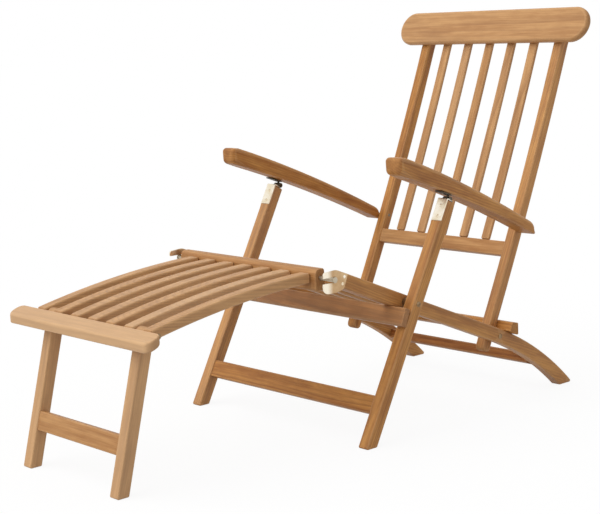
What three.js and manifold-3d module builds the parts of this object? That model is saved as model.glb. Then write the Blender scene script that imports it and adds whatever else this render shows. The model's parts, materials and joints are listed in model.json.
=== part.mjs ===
// Folding teak deck chair with a footrest that hangs on two hook plates.
// Millimetres, +Z up, the sitter faces -Y, and +X is the sitter's left.
import * as THREE from 'three';
import { mergeVertices } from 'three/addons/utils/BufferGeometryUtils.js';
import Module from 'manifold-3d';

const wasm = await Module();
wasm.setup();

const degree = Math.PI / 180;
const gap = 0.3; // air left between pieces that touch
const overrun = 2; // how far a cutting tool runs past what it cuts

// Slopes
const legLean = 28.06 * degree; // front legs lean back from vertical
const backLean = 23.8 * degree; // back stiles lean back from vertical
const railPitch = 22.45 * degree; // seat rails fall towards the rear
const footLegLean = 14.7 * degree; // footrest legs lean back from vertical, like the front legs
const armSplay = 2.6 * degree; // arms draw in towards the rear, seen from above

// Front legs
const legThick = 28;
const legDeep = 28;
const legInner = 268;
const legOuter = legInner + legThick;
const legPivotUp = 330; // foot corner to the leg pivot, along the leg
const legStretcherUp = 78;
const legStretcherInset = 2; // its front face behind the front of the legs
const legStretcherTall = 40;
const legStretcherThick = 18;

// Seat rails, each sawn in one piece with its curved rear leg
const railThick = 27;
const railDeep = 32;
const railInner = 229;
const railOuter = railInner + railThick;
const railFrontY = -15;
const railStraight = 327; // leg pivot to the start of the curve
const railCurveRadius = 800;
const pivotSpan = 334; // leg pivot to the back pivot, along the rail
const railCorner = 3;

// Back frame
const stileThick = 25;
const stileDeep = 25.5;
const stileOuter = 226.5;
const stileInner = stileOuter - stileThick;
const stileFoot = 41; // back pivot down to the lower end of the stile
const stileTop = 821;
const backBow = 8; // how far the back curves away between the pivot and the headboard
const stileFootRound = 12;
const backCrossrailUp = 229;
const backCrossrailTall = 34;
const backCrossrailThick = 20;
const backCrossrailInset = 2;
const headboardUp = 751;
const headboardTall = 86;
const headboardThick = 19;
const headboardProud = 19; // how far its face stands in front of the stiles
const headboardHalf = 300;
const slatWide = 24;
const slatThick = 9;
const slatPitch = 70;
const slatCount = 5;

// Arms
const armWide = 48;
const armFrontInner = 248.2;
const armFrontY = 123;
const armFrontLow = 564.3;
const armFrontTall = 35.7;
const armLevel = 23; // short level stretch at the front of the top
const armTopFall = 1.5; // fall of the top over that stretch
const armFrontLean = 3; // how far the front face leans back over its height
const armRearY = 583;
const armRearLow = 380;
const armRearTall = 27;
const armArch = 9.1;
const armFrontRound = 6;
const armRearRound = 16;
const armPinUp = 260; // back pivot up to the arm pin, along the stile
const armPinRadius = 3.5;
const armPinReach = 21;
const armPinPlay = 3; // free play round the pin, taken up as the chair folds

// Arm hinges
const hingeRadius = 6;
const hingeUp = 571.5; // foot corner to the hinge axis, along the leg
const hingeInset = 9.5; // rear face of the leg to the hinge axis
const hingePinRadius = 2;
const hingeLeaf = 2.5;
const hingeLeafDrop = 49; // how far the leg leaf runs down the front face
const hingeWide = 20;
const armLeafLong = 34;
const hingeScrewShares = [0.3, 0.8]; // places of the two screws along each leaf

// Bolts, screws and washers
const boltRadius = 4;
const boltHeadRadius = 6;
const boltHeadTall = 2.2;
const boltRimShare = 0.85; // width of the dome's upper ring
const boltRiseShare = 0.65; // height of that ring
const collarRadius = 10;
const screwRadius = 1.7;
const screwHeadRadius = 3.6;
const screwHeadTall = 1.4;
const screwRimShare = 0.8;
const screwRiseShare = 0.7;
const screwLong = 16;

// Cross members of the seat frame
const stopBarTall = 40;
const stopBarThick = 15.5;
const stopBarChamfer = 4;
const backStopHalf = 270;
const backStopThick = 20;
const backStopTop = 186;
const backStopRound = 1;
const rearStretcherSide = 24;
const rearStretcherY = 617;
const rearStretcherZ = 74;
const seatBarWide = 28;
const seatBarDeep = 13;
const seatSlatInset = 1; // slat tops below the rail tops
const seatSlatThick = 11;
const seatBarRearAlong = 190;

// Hook plates
const hookThick = 3;
const hookRearY = -1;
const hookEdgeInset = 1; // top of the plate below the top of the rail
const hookDrop = 31; // how far its rear edge runs down, square to the rail
const hookLobeFront = -71;
const hookLobeLow = 336.5;
const hookLobeRearY = -31;
const hookSeat = 358.5; // the pin lies on this ledge
const hookSlotRear = -33.5;
const hookSlotTall = 11.4; // the slot is open at the front
const hookFingerFront = -70;
const hookFingerFall = 2; // fall of the finger's top towards the front
const hookFingerRound = 7;
const hookLip = 6;
const hookTipRound = 2;
const hookLobeRoundShare = 0.8; // share of the lobe that its front corner rounds off
const hookPinRadius = 5;
const hookHeadRadius = 6.5;
const hookHeadThick = 3;
const hookScrewInset = 13;
const hookScrewSpread = 15;

// Footrest
const pinY = -40;
const pinZ = hookSeat + hookPinRadius + gap;
const noseFrontY = -52;
const noseDeep = 26;
const noseLow = 336;
const noseTop = 383;
const noseHalf = 228;
const noseShift = -12; // the nose bar and the end board both sit a little to the right
const noseFrontRound = 14;
const noseRearRound = 7;
const footPitch = 62;
const footSlatCount = 5;
const footSlatWide = 30;
const footSlatDeep = 18;
const footRailThick = 28;
const footRailDeep = 22;
const footRailInner = 172;
const footTopRear = 374.5; // member tops at the nose bar
const footTopFront = 321.5; // member tops at the end board
const footArch = 10;
const endBoardHalf = 249;
const endBoardFrontY = -500;
const endBoardFrontTop = 306;
const endBoardThick = 21;
const endBoardRound = 17;
const battenDeep = 14;
const battenWide = 24;
const battenSetback = 6;

// Footrest legs
const footLegThick = 28;
const footLegDeep = 28;
const footLegInner = 141;
const footLegFrontY = -542;
const footLegPivotUp = 322;
const footStretcherUp = 82;
const footStretcherInset = 2; // its front face behind the front of the legs
const footStretcherTall = 40;
const footStretcherThick = 18;

const arcSteps = 12;
const roundSides = 16;

const teak = (color, roughness) => new THREE.MeshStandardMaterial({ color, roughness, metalness: 0 });
const honeyTeak = teak(0xad7a45, 0.55);
const paleTeak = teak(0xcf9c66, 0.55);
const redTeak = teak(0xa06a38, 0.6);
const brass = new THREE.MeshStandardMaterial({ color: 0xd8c48e, roughness: 0.28, metalness: 1 });

// Turns a drawing in Y and Z, pushed out along its third axis, so that it is pushed out along X
const sideways = new THREE.Matrix4().makeBasis(
  new THREE.Vector3(0, 1, 0),
  new THREE.Vector3(0, 0, 1),
  new THREE.Vector3(1, 0, 0),
);

// Straight-sided outline, turned to run anticlockwise; a corner [y, z, round] is rounded by that much
function outline(places) {
  const clockwise = THREE.ShapeUtils.isClockWise(places.map(([y, z]) => new THREE.Vector2(y, z)));
  const corners = clockwise ? [...places].reverse() : places;
  const shape = new THREE.Shape();
  corners.forEach((corner, index) => {
    const here = new THREE.Vector2(corner[0], corner[1]);
    const round = corner[2] ?? 0;
    const before = corners[(index + corners.length - 1) % corners.length];
    const after = corners[(index + 1) % corners.length];
    const start = new THREE.Vector2(before[0], before[1]).sub(here).setLength(round).add(here);
    const end = new THREE.Vector2(after[0], after[1]).sub(here).setLength(round).add(here);
    if (index === 0) shape.moveTo(start.x, start.y);
    else shape.lineTo(start.x, start.y);
    if (round > 0) shape.quadraticCurveTo(here.x, here.y, end.x, end.y);
  });
  shape.closePath();
  return shape;
}

function roundHole(y, z, radius) {
  const hole = new THREE.Path();
  hole.absarc(y, z, radius, 0, 2 * Math.PI, true);
  return hole;
}

// Pushes a side view out along X between two places
function plank(shape, fromX, toX, curveSegments = 4) {
  const geometry = new THREE.ExtrudeGeometry(shape, {
    depth: toX - fromX,
    bevelEnabled: false,
    curveSegments,
  });
  return geometry.applyMatrix4(sideways).translate(fromX, 0, 0);
}

function block(fromX, toX, fromY, toY, fromZ, toZ) {
  const geometry = new THREE.BoxGeometry(toX - fromX, toY - fromY, toZ - fromZ);
  return geometry.translate((fromX + toX) / 2, (fromY + toY) / 2, (fromZ + toZ) / 2);
}

// Round bar along X
function rod(fromX, toX, y, z, radius) {
  const geometry = new THREE.CylinderGeometry(radius, radius, toX - fromX, roundSides);
  return geometry.rotateZ(Math.PI / 2).translate((fromX + toX) / 2, y, z);
}

function toSolid(geometry) {
  const bare = geometry.clone();
  bare.deleteAttribute('normal');
  bare.deleteAttribute('uv');
  const merged = mergeVertices(bare);
  return new wasm.Manifold(new wasm.Mesh({
    numProp: 3,
    vertProperties: new Float32Array(merged.attributes.position.array),
    triVerts: new Uint32Array(merged.index.array),
  }));
}

function toGeometry(solid) {
  const mesh = solid.getMesh();
  const geometry = new THREE.BufferGeometry();
  geometry.setAttribute('position', new THREE.BufferAttribute(mesh.vertProperties, 3));
  geometry.setIndex(new THREE.BufferAttribute(mesh.triVerts, 1));
  return geometry;
}

function cut(geometry, tools) {
  return toGeometry(tools.reduce((solid, tool) => solid.subtract(toSolid(tool)), toSolid(geometry)));
}

function join(geometries) {
  const [first, ...rest] = geometries.map(toSolid);
  return toGeometry(rest.reduce((solid, next) => solid.add(next), first));
}

// The same piece on the other side of the chair
function mirrored(geometry) {
  const plain = geometry.index ? geometry.toNonIndexed() : geometry.clone();
  plain.scale(-1, 1, 1);
  const corners = plain.attributes.position;
  for (let i = 0; i < corners.count; i += 3) {
    const swap = new THREE.Vector3().fromBufferAttribute(corners, i + 1);
    corners.setXYZ(i + 1, corners.getX(i + 2), corners.getY(i + 2), corners.getZ(i + 2));
    corners.setXYZ(i + 2, swap.x, swap.y, swap.z);
  }
  return plain;
}

function addPart(parent, name, geometry, material) {
  const mesh = new THREE.Mesh(geometry, material.clone());
  mesh.name = name;
  parent.add(mesh);
  return mesh;
}

// Left and right copies of one piece, drawn for the left side
function addPair(parent, name, geometry, material) {
  addPart(parent, `${name}_left`, geometry, material);
  addPart(parent, `${name}_right`, mirrored(geometry), material);
}

// A leaning frame: its own Z runs up along the members and its own Y across them, to the rear
function leaningGroup(y, z, lean) {
  const group = new THREE.Group();
  group.position.set(0, y, z);
  group.rotation.x = -lean;
  return group;
}

// Place in the chair's side view of a point across and up a member that leans back
function along(originY, originZ, lean, across, up) {
  return [
    originY + up * Math.sin(lean) + across * Math.cos(lean),
    originZ + up * Math.cos(lean) - across * Math.sin(lean),
  ];
}

// Pivots, worked out in the side view from the front corner of the front foot
const legPivot = along(0, 0, legLean, legDeep / 2, legPivotUp);
const onRail = (distance, height) => along(legPivot[0], legPivot[1], railPitch, distance, height);
const backPivot = onRail(pivotSpan, 0);
const stileStart = along(backPivot[0], backPivot[1], backLean, -stileDeep / 2, -stileFoot);
const onStile = (across, up) => along(stileStart[0], stileStart[1], backLean, across, up);
const hingeAcross = legDeep - hingeInset;
const hingeAxis = along(0, 0, legLean, hingeAcross, hingeUp);

// Centre of the curve that the rear leg follows
const curveCentre = onRail(railStraight, -railCurveRadius);

// Height of the rail's top edge, or its lower edge with a negative offset, over a place on the floor
function railEdgeHeight(y, offset) {
  const straight = onRail(0, offset);
  if (y < onRail(railStraight, offset)[0]) return straight[1] - (y - straight[0]) * Math.tan(railPitch);
  const radius = railCurveRadius + offset;
  return curveCentre[1] + Math.sqrt(radius ** 2 - (y - curveCentre[0]) ** 2);
}

// One edge of the curved rear leg, from the straight rail down to the floor
function rearLegEdge(offset) {
  const radius = railCurveRadius + offset;
  const floorTurn = Math.acos(-curveCentre[1] / radius);
  return Array.from({ length: arcSteps + 1 }, (unused, step) => {
    const turn = THREE.MathUtils.lerp(railPitch, floorTurn, step / arcSteps);
    return [curveCentre[0] + radius * Math.sin(turn), curveCentre[1] + radius * Math.cos(turn)];
  });
}

// Points of a shallow arch between two places, both ends included
function archPoints(from, to, rise, steps) {
  return Array.from({ length: steps + 1 }, (unused, step) => {
    const share = step / steps;
    const lift = rise * 4 * share * (1 - share);
    return [
      THREE.MathUtils.lerp(from[0], to[0], share),
      THREE.MathUtils.lerp(from[1], to[1], share) + lift,
    ];
  });
}

function makeScrew() {
  const profile = [
    new THREE.Vector2(0, -screwLong),
    new THREE.Vector2(screwRadius, -screwLong + screwRadius),
    new THREE.Vector2(screwRadius, 0),
    new THREE.Vector2(screwHeadRadius, 0),
    new THREE.Vector2(screwHeadRadius * screwRimShare, screwHeadTall * screwRiseShare),
    new THREE.Vector2(0, screwHeadTall),
  ];
  return new THREE.LatheGeometry(profile, roundSides / 2);
}

// Bolt along X with a domed head at its outer end and a collar that keeps two members apart
function pivotBolt(fromX, collarFromX, collarToX, headX, [y, z]) {
  const profile = [
    new THREE.Vector2(0, fromX),
    new THREE.Vector2(boltRadius, fromX),
    new THREE.Vector2(boltRadius, collarFromX),
    new THREE.Vector2(collarRadius, collarFromX),
    new THREE.Vector2(collarRadius, collarToX),
    new THREE.Vector2(boltRadius, collarToX),
    new THREE.Vector2(boltRadius, headX),
    new THREE.Vector2(boltHeadRadius, headX),
    new THREE.Vector2(boltHeadRadius * boltRimShare, headX + boltHeadTall * boltRiseShare),
    new THREE.Vector2(0, headX + boltHeadTall),
  ];
  return new THREE.LatheGeometry(profile, roundSides).rotateZ(-Math.PI / 2).translate(0, y, z);
}

// Seat frame

// The two screws lie along the plate's rear edge, square to the rail
function hookScrewPlaces() {
  const y = hookRearY - hookScrewInset;
  const middle = railEdgeHeight(y, 0);
  return [-1, 1].map((side) => along(y, middle, railPitch, 0, side * hookScrewSpread / 2));
}

function makeSeatRail() {
  const top = rearLegEdge(railDeep / 2);
  const bottom = rearLegEdge(-railDeep / 2).reverse();
  const shape = outline([
    [railFrontY, railEdgeHeight(railFrontY, -railDeep / 2), railCorner],
    [railFrontY, railEdgeHeight(railFrontY, railDeep / 2), railCorner],
    ...top,
    ...bottom,
  ]);
  shape.holes.push(roundHole(...legPivot, boltRadius + gap));
  shape.holes.push(roundHole(...backPivot, boltRadius + gap));
  const rail = plank(shape, railInner, railOuter, roundSides / 2);
  const screwHoles = hookScrewPlaces().map(([y, z]) => rod(
    railOuter - screwLong,
    railOuter + overrun,
    y,
    z,
    screwRadius + gap,
  ));
  return cut(rail, screwHoles);
}

function makeHookPlate() {
  const top = railDeep / 2 - hookEdgeInset;
  const rearTop = [hookRearY, railEdgeHeight(hookRearY, top)];
  const fingerTop = railEdgeHeight(hookSlotRear, top);
  const slotTop = hookSeat + hookSlotTall;
  const shape = outline([
    [...along(...rearTop, railPitch, 0, -hookDrop), hookLip / 2],
    [...rearTop, hookTipRound],
    [hookSlotRear, fingerTop, hookLip],
    [hookFingerFront, fingerTop - hookFingerFall, hookFingerRound],
    [hookFingerFront, slotTop, hookTipRound],
    [hookSlotRear, slotTop, hookPinRadius],
    [hookSlotRear, hookSeat, hookPinRadius],
    [hookLobeFront, hookSeat, hookLip / 2],
    [hookLobeFront, hookLobeLow, (hookSeat - hookLobeLow) * hookLobeRoundShare],
    [hookLobeRearY, hookLobeLow, hookLip],
  ]);
  const faceX = railOuter + gap + hookThick;
  const plate = plank(shape, railOuter + gap, faceX, roundSides / 2);
  const screws = hookScrewPlaces().map(([y, z]) => makeScrew().rotateZ(-Math.PI / 2).translate(faceX, y, z));
  return join([plate, ...screws]);
}

// The front legs lean against the lower rear edge of this bar
function makeLegStopBar() {
  const low = -railDeep / 2 - gap - stopBarTall;
  const lowAcross = along(0, 0, -legLean, onRail(0, low)[0], onRail(0, low)[1])[0];
  const rear = -(lowAcross + gap) / Math.cos(legLean - railPitch);
  const shape = outline([
    [rear - stopBarThick, low + stopBarChamfer],
    [rear - stopBarThick + stopBarChamfer, low],
    [rear, low],
    [rear, low + stopBarTall],
    [rear - stopBarThick, low + stopBarTall],
  ]);
  return plank(shape, -legOuter, legOuter);
}

function makeBackStopBar() {
  const stileRear = (z) => {
    const foot = onStile(stileDeep + gap, 0);
    const rise = z - foot[1];
    return foot[0] + rise * Math.tan(backLean) + bowAt(rise / Math.cos(backLean)) / Math.cos(backLean);
  };
  const railTop = (y) => railEdgeHeight(y, railDeep / 2) + gap;
  let lowFrontY = stileRear(backStopTop);
  for (let step = 0; step < arcSteps; step += 1) lowFrontY = stileRear(railTop(lowFrontY));
  const rearY = stileRear(backStopTop) + backStopThick;
  const shape = outline([
    [lowFrontY, railTop(lowFrontY)],
    [rearY, railTop(rearY)],
    [rearY, backStopTop - backStopThick * Math.tan(railPitch) / 2, railCorner],
    [stileRear(backStopTop), backStopTop, backStopRound],
  ]);
  return plank(shape, -backStopHalf, backStopHalf);
}

function makeRearStretcher() {
  const half = rearStretcherSide / 2;
  const shape = outline([
    [-half, -half, railCorner],
    [half, -half, railCorner],
    [half, half, railCorner],
    [-half, half, railCorner],
  ]);
  return plank(shape, -railInner + gap, railInner - gap);
}

// Middles of evenly spaced slats
function slatPlaces(count, pitch) {
  return Array.from({ length: count }, (unused, i) => (i - (count - 1) / 2) * pitch);
}

const seatSlatTop = railDeep / 2 - seatSlatInset;
const seatBarFrontAlong = (railFrontY - legPivot[0]) / Math.cos(railPitch) + railDeep / 2;

function addSeat(railGroup) {
  const barTop = seatSlatTop - seatSlatThick - gap;
  const reach = railInner - gap;
  const bar = (front) => block(-reach, reach, front, front + seatBarWide, barTop - seatBarDeep, barTop);
  addPart(railGroup, 'seat_front_crossbar', bar(seatBarFrontAlong), honeyTeak);
  addPart(railGroup, 'seat_rear_crossbar', bar(seatBarRearAlong), honeyTeak);
  slatPlaces(slatCount, slatPitch).forEach((x, i) => {
    const shape = outline([
      [seatBarFrontAlong, seatSlatTop - seatSlatThick],
      [seatBarRearAlong + seatBarWide, seatSlatTop - seatSlatThick],
      [seatBarRearAlong + seatBarWide, seatSlatTop, railCorner],
      [seatBarFrontAlong, seatSlatTop, railCorner],
    ]);
    addPart(railGroup, `seat_slat_${i + 1}`, plank(shape, x - slatWide / 2, x + slatWide / 2), paleTeak);
  });
}

function addSeatFrame(chair) {
  addPair(chair, 'seat_rail', makeSeatRail(), honeyTeak);
  addPair(chair, 'hook_plate', makeHookPlate(), brass);
  const railGroup = new THREE.Group();
  railGroup.position.set(0, legPivot[0], legPivot[1]);
  railGroup.rotation.x = -railPitch;
  chair.add(railGroup);
  addPart(railGroup, 'leg_stop_bar', makeLegStopBar(), redTeak);
  addSeat(railGroup);
  addPart(chair, 'back_stop_bar', makeBackStopBar(), honeyTeak);
  const stretcher = addPart(chair, 'rear_stretcher', makeRearStretcher(), redTeak);
  stretcher.position.set(0, rearStretcherY, rearStretcherZ);
  stretcher.rotation.x = -railPitch;
  const legBolt = pivotBolt(railInner, railOuter + gap, legInner - gap, legOuter + gap, legPivot);
  addPair(chair, 'leg_pivot_bolt', legBolt, brass);
  const backBolt = pivotBolt(stileInner, stileOuter + gap, railInner - gap, railOuter + gap, backPivot);
  addPair(chair, 'back_pivot_bolt', backBolt, brass);
}

// Back frame

// How far the back has curved away behind a straight line, at a height along the stile
function bowAt(up) {
  const share = (up - stileFoot) / (headboardUp - gap - stileFoot);
  return share > 0 && share < 1 ? backBow * 4 * share * (1 - share) : 0;
}

// Middle of the arm pin, across and up the stile
const armPinSpot = [stileDeep / 2 + bowAt(stileFoot + armPinUp), stileFoot + armPinUp];

// One edge of a stile or slat, from its lower end up to the headboard
function bowedEdge(across, fromUp) {
  return Array.from({ length: arcSteps + 1 }, (unused, step) => {
    const up = THREE.MathUtils.lerp(fromUp, headboardUp - gap, step / arcSteps);
    return [across + bowAt(up), up];
  });
}

function makeStile() {
  const notch = headboardThick - headboardProud + gap;
  const shape = outline([
    [0, 0, stileFootRound],
    [stileDeep, 0, stileFootRound],
    ...bowedEdge(stileDeep, stileFoot),
    [stileDeep, stileTop, railCorner],
    [notch, stileTop],
    [notch, headboardUp - gap],
    ...bowedEdge(0, stileFoot).reverse(),
  ]);
  shape.holes.push(roundHole(stileDeep / 2, stileFoot, boltRadius + gap));
  shape.holes.push(roundHole(...armPinSpot, armPinRadius + gap));
  return plank(shape, stileInner, stileOuter, roundSides / 2);
}

// Long board with half round ends, drawn in X and Z and pushed out along Y
function makeHeadboard() {
  const radius = headboardTall / 2;
  const shape = new THREE.Shape();
  shape.absarc(headboardHalf - radius, 0, radius, -Math.PI / 2, Math.PI / 2, false);
  shape.absarc(-headboardHalf + radius, 0, radius, Math.PI / 2, 1.5 * Math.PI, false);
  const options = { depth: headboardThick, bevelEnabled: false, curveSegments: roundSides };
  return new THREE.ExtrudeGeometry(shape, options).rotateX(Math.PI / 2).translate(0, headboardThick, 0);
}

function addBackFrame(chair) {
  const back = leaningGroup(stileStart[0], stileStart[1], backLean);
  chair.add(back);
  addPair(back, 'back_stile', makeStile(), honeyTeak);
  const headboard = addPart(back, 'headboard', makeHeadboard(), paleTeak);
  headboard.position.set(0, -headboardProud, headboardUp + headboardTall / 2);
  const reach = stileInner - gap;
  const crossrailFront = backCrossrailInset + bowAt(backCrossrailUp + backCrossrailTall / 2);
  const crossrail = block(
    -reach,
    reach,
    crossrailFront,
    crossrailFront + backCrossrailThick,
    backCrossrailUp,
    backCrossrailUp + backCrossrailTall,
  );
  addPart(back, 'back_crossrail', crossrail, paleTeak);
  const slatFront = headboardThick - headboardProud + gap;
  const slatBottom = backCrossrailUp + backCrossrailTall + gap;
  slatPlaces(slatCount, slatPitch).forEach((x, i) => {
    const shape = outline([
      ...bowedEdge(slatFront + slatThick, slatBottom),
      [slatFront + slatThick, stileTop],
      [slatFront, stileTop],
      ...bowedEdge(slatFront, slatBottom).reverse(),
    ]);
    addPart(back, `back_slat_${i + 1}`, plank(shape, x - slatWide / 2, x + slatWide / 2), paleTeak);
  });
  const pin = rod(stileInner, stileOuter + armPinReach, ...armPinSpot, armPinRadius);
  addPair(back, 'arm_pin', pin, brass);
}

// Front legs, with the lower leaves of the arm hinges

const legTop = hingeUp - hingeRadius - gap;
const thirds = hingeWide / 3;
const legScrewPlaces = () => hingeScrewShares.map((share) => legTop - hingeLeafDrop * share);

function makeFrontLeg() {
  const notch = hingeLeaf + gap;
  const leafFoot = legTop - hingeLeafDrop - gap;
  const shape = outline([
    [0, 0],
    [legDeep, legDeep * Math.tan(legLean)],
    [legDeep, legTop, railCorner],
    [notch, legTop],
    [notch, leafFoot],
    [0, leafFoot],
  ]);
  shape.holes.push(roundHole(legDeep / 2, legPivotUp, boltRadius + gap));
  const leg = plank(shape, legInner, legOuter, roundSides / 2);
  const holes = legScrewPlaces().map((up) => rodAcross(legInner + legThick / 2, 0, screwLong + overrun, up));
  return cut(leg, holes);
}

// Round hole that runs from front to rear
function rodAcross(x, fromY, toY, z) {
  const radius = screwRadius + gap;
  const geometry = new THREE.CylinderGeometry(radius, radius, toY - fromY, roundSides / 2);
  return geometry.translate(x, (fromY + toY) / 2, z);
}

function knuckle(fromX, toX, y, z) {
  const shape = new THREE.Shape();
  shape.absarc(y, z, hingeRadius, 0, 2 * Math.PI, false);
  return plank(shape, fromX, toX, roundSides / 2);
}

// Lower leaf: let into the front of the leg, folded over its top and rolled round the pin
function makeLegLeaf() {
  const low = hingeUp - hingeRadius;
  const shape = outline([
    [0, legTop - hingeLeafDrop],
    [hingeLeaf, legTop - hingeLeafDrop],
    [hingeLeaf, low],
    [hingeAcross, low],
    [hingeAcross, low + hingeLeaf],
    [0, low + hingeLeaf, hingeLeaf],
  ]);
  const start = legInner + gap;
  const leaf = join([
    plank(shape, legInner, legOuter),
    knuckle(start, start + thirds, hingeAcross, hingeUp),
    knuckle(start + 2 * thirds, start + hingeWide, hingeAcross, hingeUp),
  ]);
  const pinBore = rod(legInner - overrun, legOuter + overrun, hingeAcross, hingeUp, hingePinRadius + gap);
  const room = block(
    start + thirds,
    start + 2 * thirds,
    hingeAcross - hingeRadius - gap,
    hingeAcross + overrun,
    low - overrun,
    hingeUp + hingeRadius,
  );
  const middle = legInner + legThick / 2;
  const screws = legScrewPlaces().map((up) => makeScrew().rotateX(Math.PI).translate(middle, 0, up));
  return join([cut(leaf, [pinBore, room]), ...screws]);
}

function addFrontLegs(chair) {
  const legs = leaningGroup(0, 0, legLean);
  chair.add(legs);
  addPair(legs, 'front_leg', makeFrontLeg(), honeyTeak);
  const reach = legInner - gap;
  const stretcher = block(
    -reach,
    reach,
    legStretcherInset,
    legStretcherInset + legStretcherThick,
    legStretcherUp,
    legStretcherUp + legStretcherTall,
  );
  addPart(legs, 'front_leg_stretcher', stretcher, honeyTeak);
  addPair(legs, 'leg_hinge_leaf', makeLegLeaf(), brass);
  const start = legInner + gap;
  const pin = rod(start, start + hingeWide, hingeAcross, hingeUp, hingePinRadius);
  addPair(legs, 'arm_hinge_pin', pin, brass);
}

// Arms, each with the upper leaf of its hinge

const armLong = armRearY - armFrontY;
const armFall = armFrontLow - armRearLow;

// Underside of the arm over a place on the floor, and its slope there
function armUnderside(y) {
  const share = (y - armFrontY) / armLong;
  return armFrontLow - share * armFall + armArch * 4 * share * (1 - share);
}

const armSlope = (armUnderside(hingeAxis[0] - armLeafLong) - armUnderside(hingeAxis[0])) / armLeafLong;
const armTilt = Math.atan(armSlope);

// Moves a piece drawn round the hinge axis, with its Y along the underside of the arm, to its place
function atHinge(geometry) {
  return geometry.rotateX(-armTilt).translate(legInner + gap, hingeAxis[0], hingeAxis[1]);
}

const leafRise = (armUnderside(hingeAxis[0]) - hingeAxis[1]) * Math.cos(armTilt) - 2 * gap;
const armScrewPlaces = () => hingeScrewShares.map((share) => (
  -hingeRadius - (armLeafLong - hingeRadius) * share
));

const armPinPlace = onStile(...armPinSpot);

// Square hole round each screw of the upper leaf, from one height to another
function armScrewHoles(fromZ, toZ) {
  const half = screwRadius + gap;
  const middle = hingeWide / 2;
  return armScrewPlaces().map((y) => (
    atHinge(block(middle - half, middle + half, y - half, y + half, fromZ, toZ))
  ));
}

function makeArm() {
  const rearTop = armRearTall - armFall;
  const top = archPoints([armLevel, armFrontTall - armTopFall], [armLong, rearTop], armArch, arcSteps);
  const lower = archPoints([0, 0], [armLong, -armFall], armArch, arcSteps).reverse();
  const shape = outline([
    [0, 0, railCorner],
    [armFrontLean, armFrontTall, armFrontRound],
    ...top.slice(0, -1),
    [armLong, rearTop, armRearRound],
    [armLong, -armFall, railCorner],
    ...lower.slice(1, -1),
  ]);
  const arm = plank(shape, 0, armWide).rotateZ(armSplay).translate(armFrontInner, armFrontY, armFrontLow);
  const boreEnd = stileOuter + armPinReach + overrun;
  const bore = rod(stileInner, boreEnd, ...armPinPlace, armPinRadius + armPinPlay);
  return cut(arm, [bore, ...armScrewHoles(0, leafRise + screwLong)]);
}

// Upper leaf: a plate under the arm and a web down to the middle knuckle
function makeArmLeaf() {
  const plate = block(0, hingeWide, -armLeafLong, 0, leafRise - hingeLeaf, leafRise);
  const web = block(thirds + gap, 2 * thirds - gap, -hingeLeaf, 0, 0, leafRise - hingeLeaf / 2);
  const leaf = join([plate, web, knuckle(thirds + gap, 2 * thirds - gap, 0, 0)]);
  const pinBore = rod(-overrun, hingeWide + overrun, 0, 0, hingePinRadius + gap);
  const screws = armScrewPlaces().map((y) => (
    makeScrew().rotateX(-Math.PI / 2).translate(hingeWide / 2, y, leafRise - hingeLeaf)
  ));
  return atHinge(join([cut(leaf, [pinBore]), ...screws]));
}

function addArms(chair) {
  addPair(chair, 'arm', makeArm(), honeyTeak);
  addPair(chair, 'arm_hinge_leaf', makeArmLeaf(), brass);
}

// Footrest

// Front faces of the footrest legs at a height above the floor
const footLegFront = (z) => footLegFrontY + z * Math.tan(footLegLean);
const endBoardRearY = footLegFront(footTopFront - endBoardThick) - gap / Math.cos(footLegLean);
const footLegPivot = along(footLegFrontY, 0, footLegLean, footLegDeep / 2, footLegPivotUp);

function footMemberTop() {
  const front = [endBoardRearY + gap, footTopFront];
  const rear = [noseFrontY - gap, footTopRear];
  return archPoints(front, rear, footArch, arcSteps);
}

function footMember(fromX, toX, deep, holes) {
  const top = footMemberTop();
  const bottom = top.map(([y, z]) => [y, z - deep]).reverse();
  const shape = outline([...top, ...bottom]);
  shape.holes.push(...holes);
  return plank(shape, fromX, toX, roundSides / 2);
}

function makeNoseBar() {
  const rear = noseFrontY + noseDeep;
  const shape = outline([
    [noseFrontY, noseLow, noseRearRound],
    [rear, noseLow, noseRearRound],
    [rear, noseTop, noseRearRound],
    [noseFrontY, noseTop, noseFrontRound],
  ]);
  shape.holes.push(roundHole(pinY, pinZ, hookPinRadius + gap));
  return plank(shape, noseShift - noseHalf, noseShift + noseHalf, roundSides / 2);
}

// Pin let into an end of the nose bar, with a head outside the hook plate
function makeHookPin(noseEnd) {
  const headX = railOuter + gap + hookThick + gap;
  return join([
    rod(noseEnd - screwLong, headX + hookHeadThick, pinY, pinZ, hookPinRadius),
    rod(headX, headX + hookHeadThick, pinY, pinZ, hookHeadRadius),
  ]);
}

// Sloping board with rounded ends; the footrest legs lean against its lower rear edge
function makeEndBoard() {
  const shape = outline([
    [endBoardFrontY, endBoardFrontTop - endBoardThick, railCorner],
    [endBoardRearY, footTopFront - endBoardThick],
    [endBoardRearY, footTopFront, railCorner / 2],
    [endBoardFrontY, endBoardFrontTop, railCorner * 2],
  ]);
  const plan = outline([
    [noseShift - endBoardHalf, endBoardFrontY, endBoardRound],
    [noseShift + endBoardHalf, endBoardFrontY, endBoardRound],
    [noseShift + endBoardHalf, endBoardRearY, endBoardRound],
    [noseShift - endBoardHalf, endBoardRearY, endBoardRound],
  ]);
  const options = { depth: footTopFront + overrun, bevelEnabled: false, curveSegments: arcSteps / 2 };
  const column = new THREE.ExtrudeGeometry(plan, options);
  const board = plank(shape, noseShift - endBoardHalf, noseShift + endBoardHalf);
  return toGeometry(toSolid(board).intersect(toSolid(column)));
}

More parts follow.
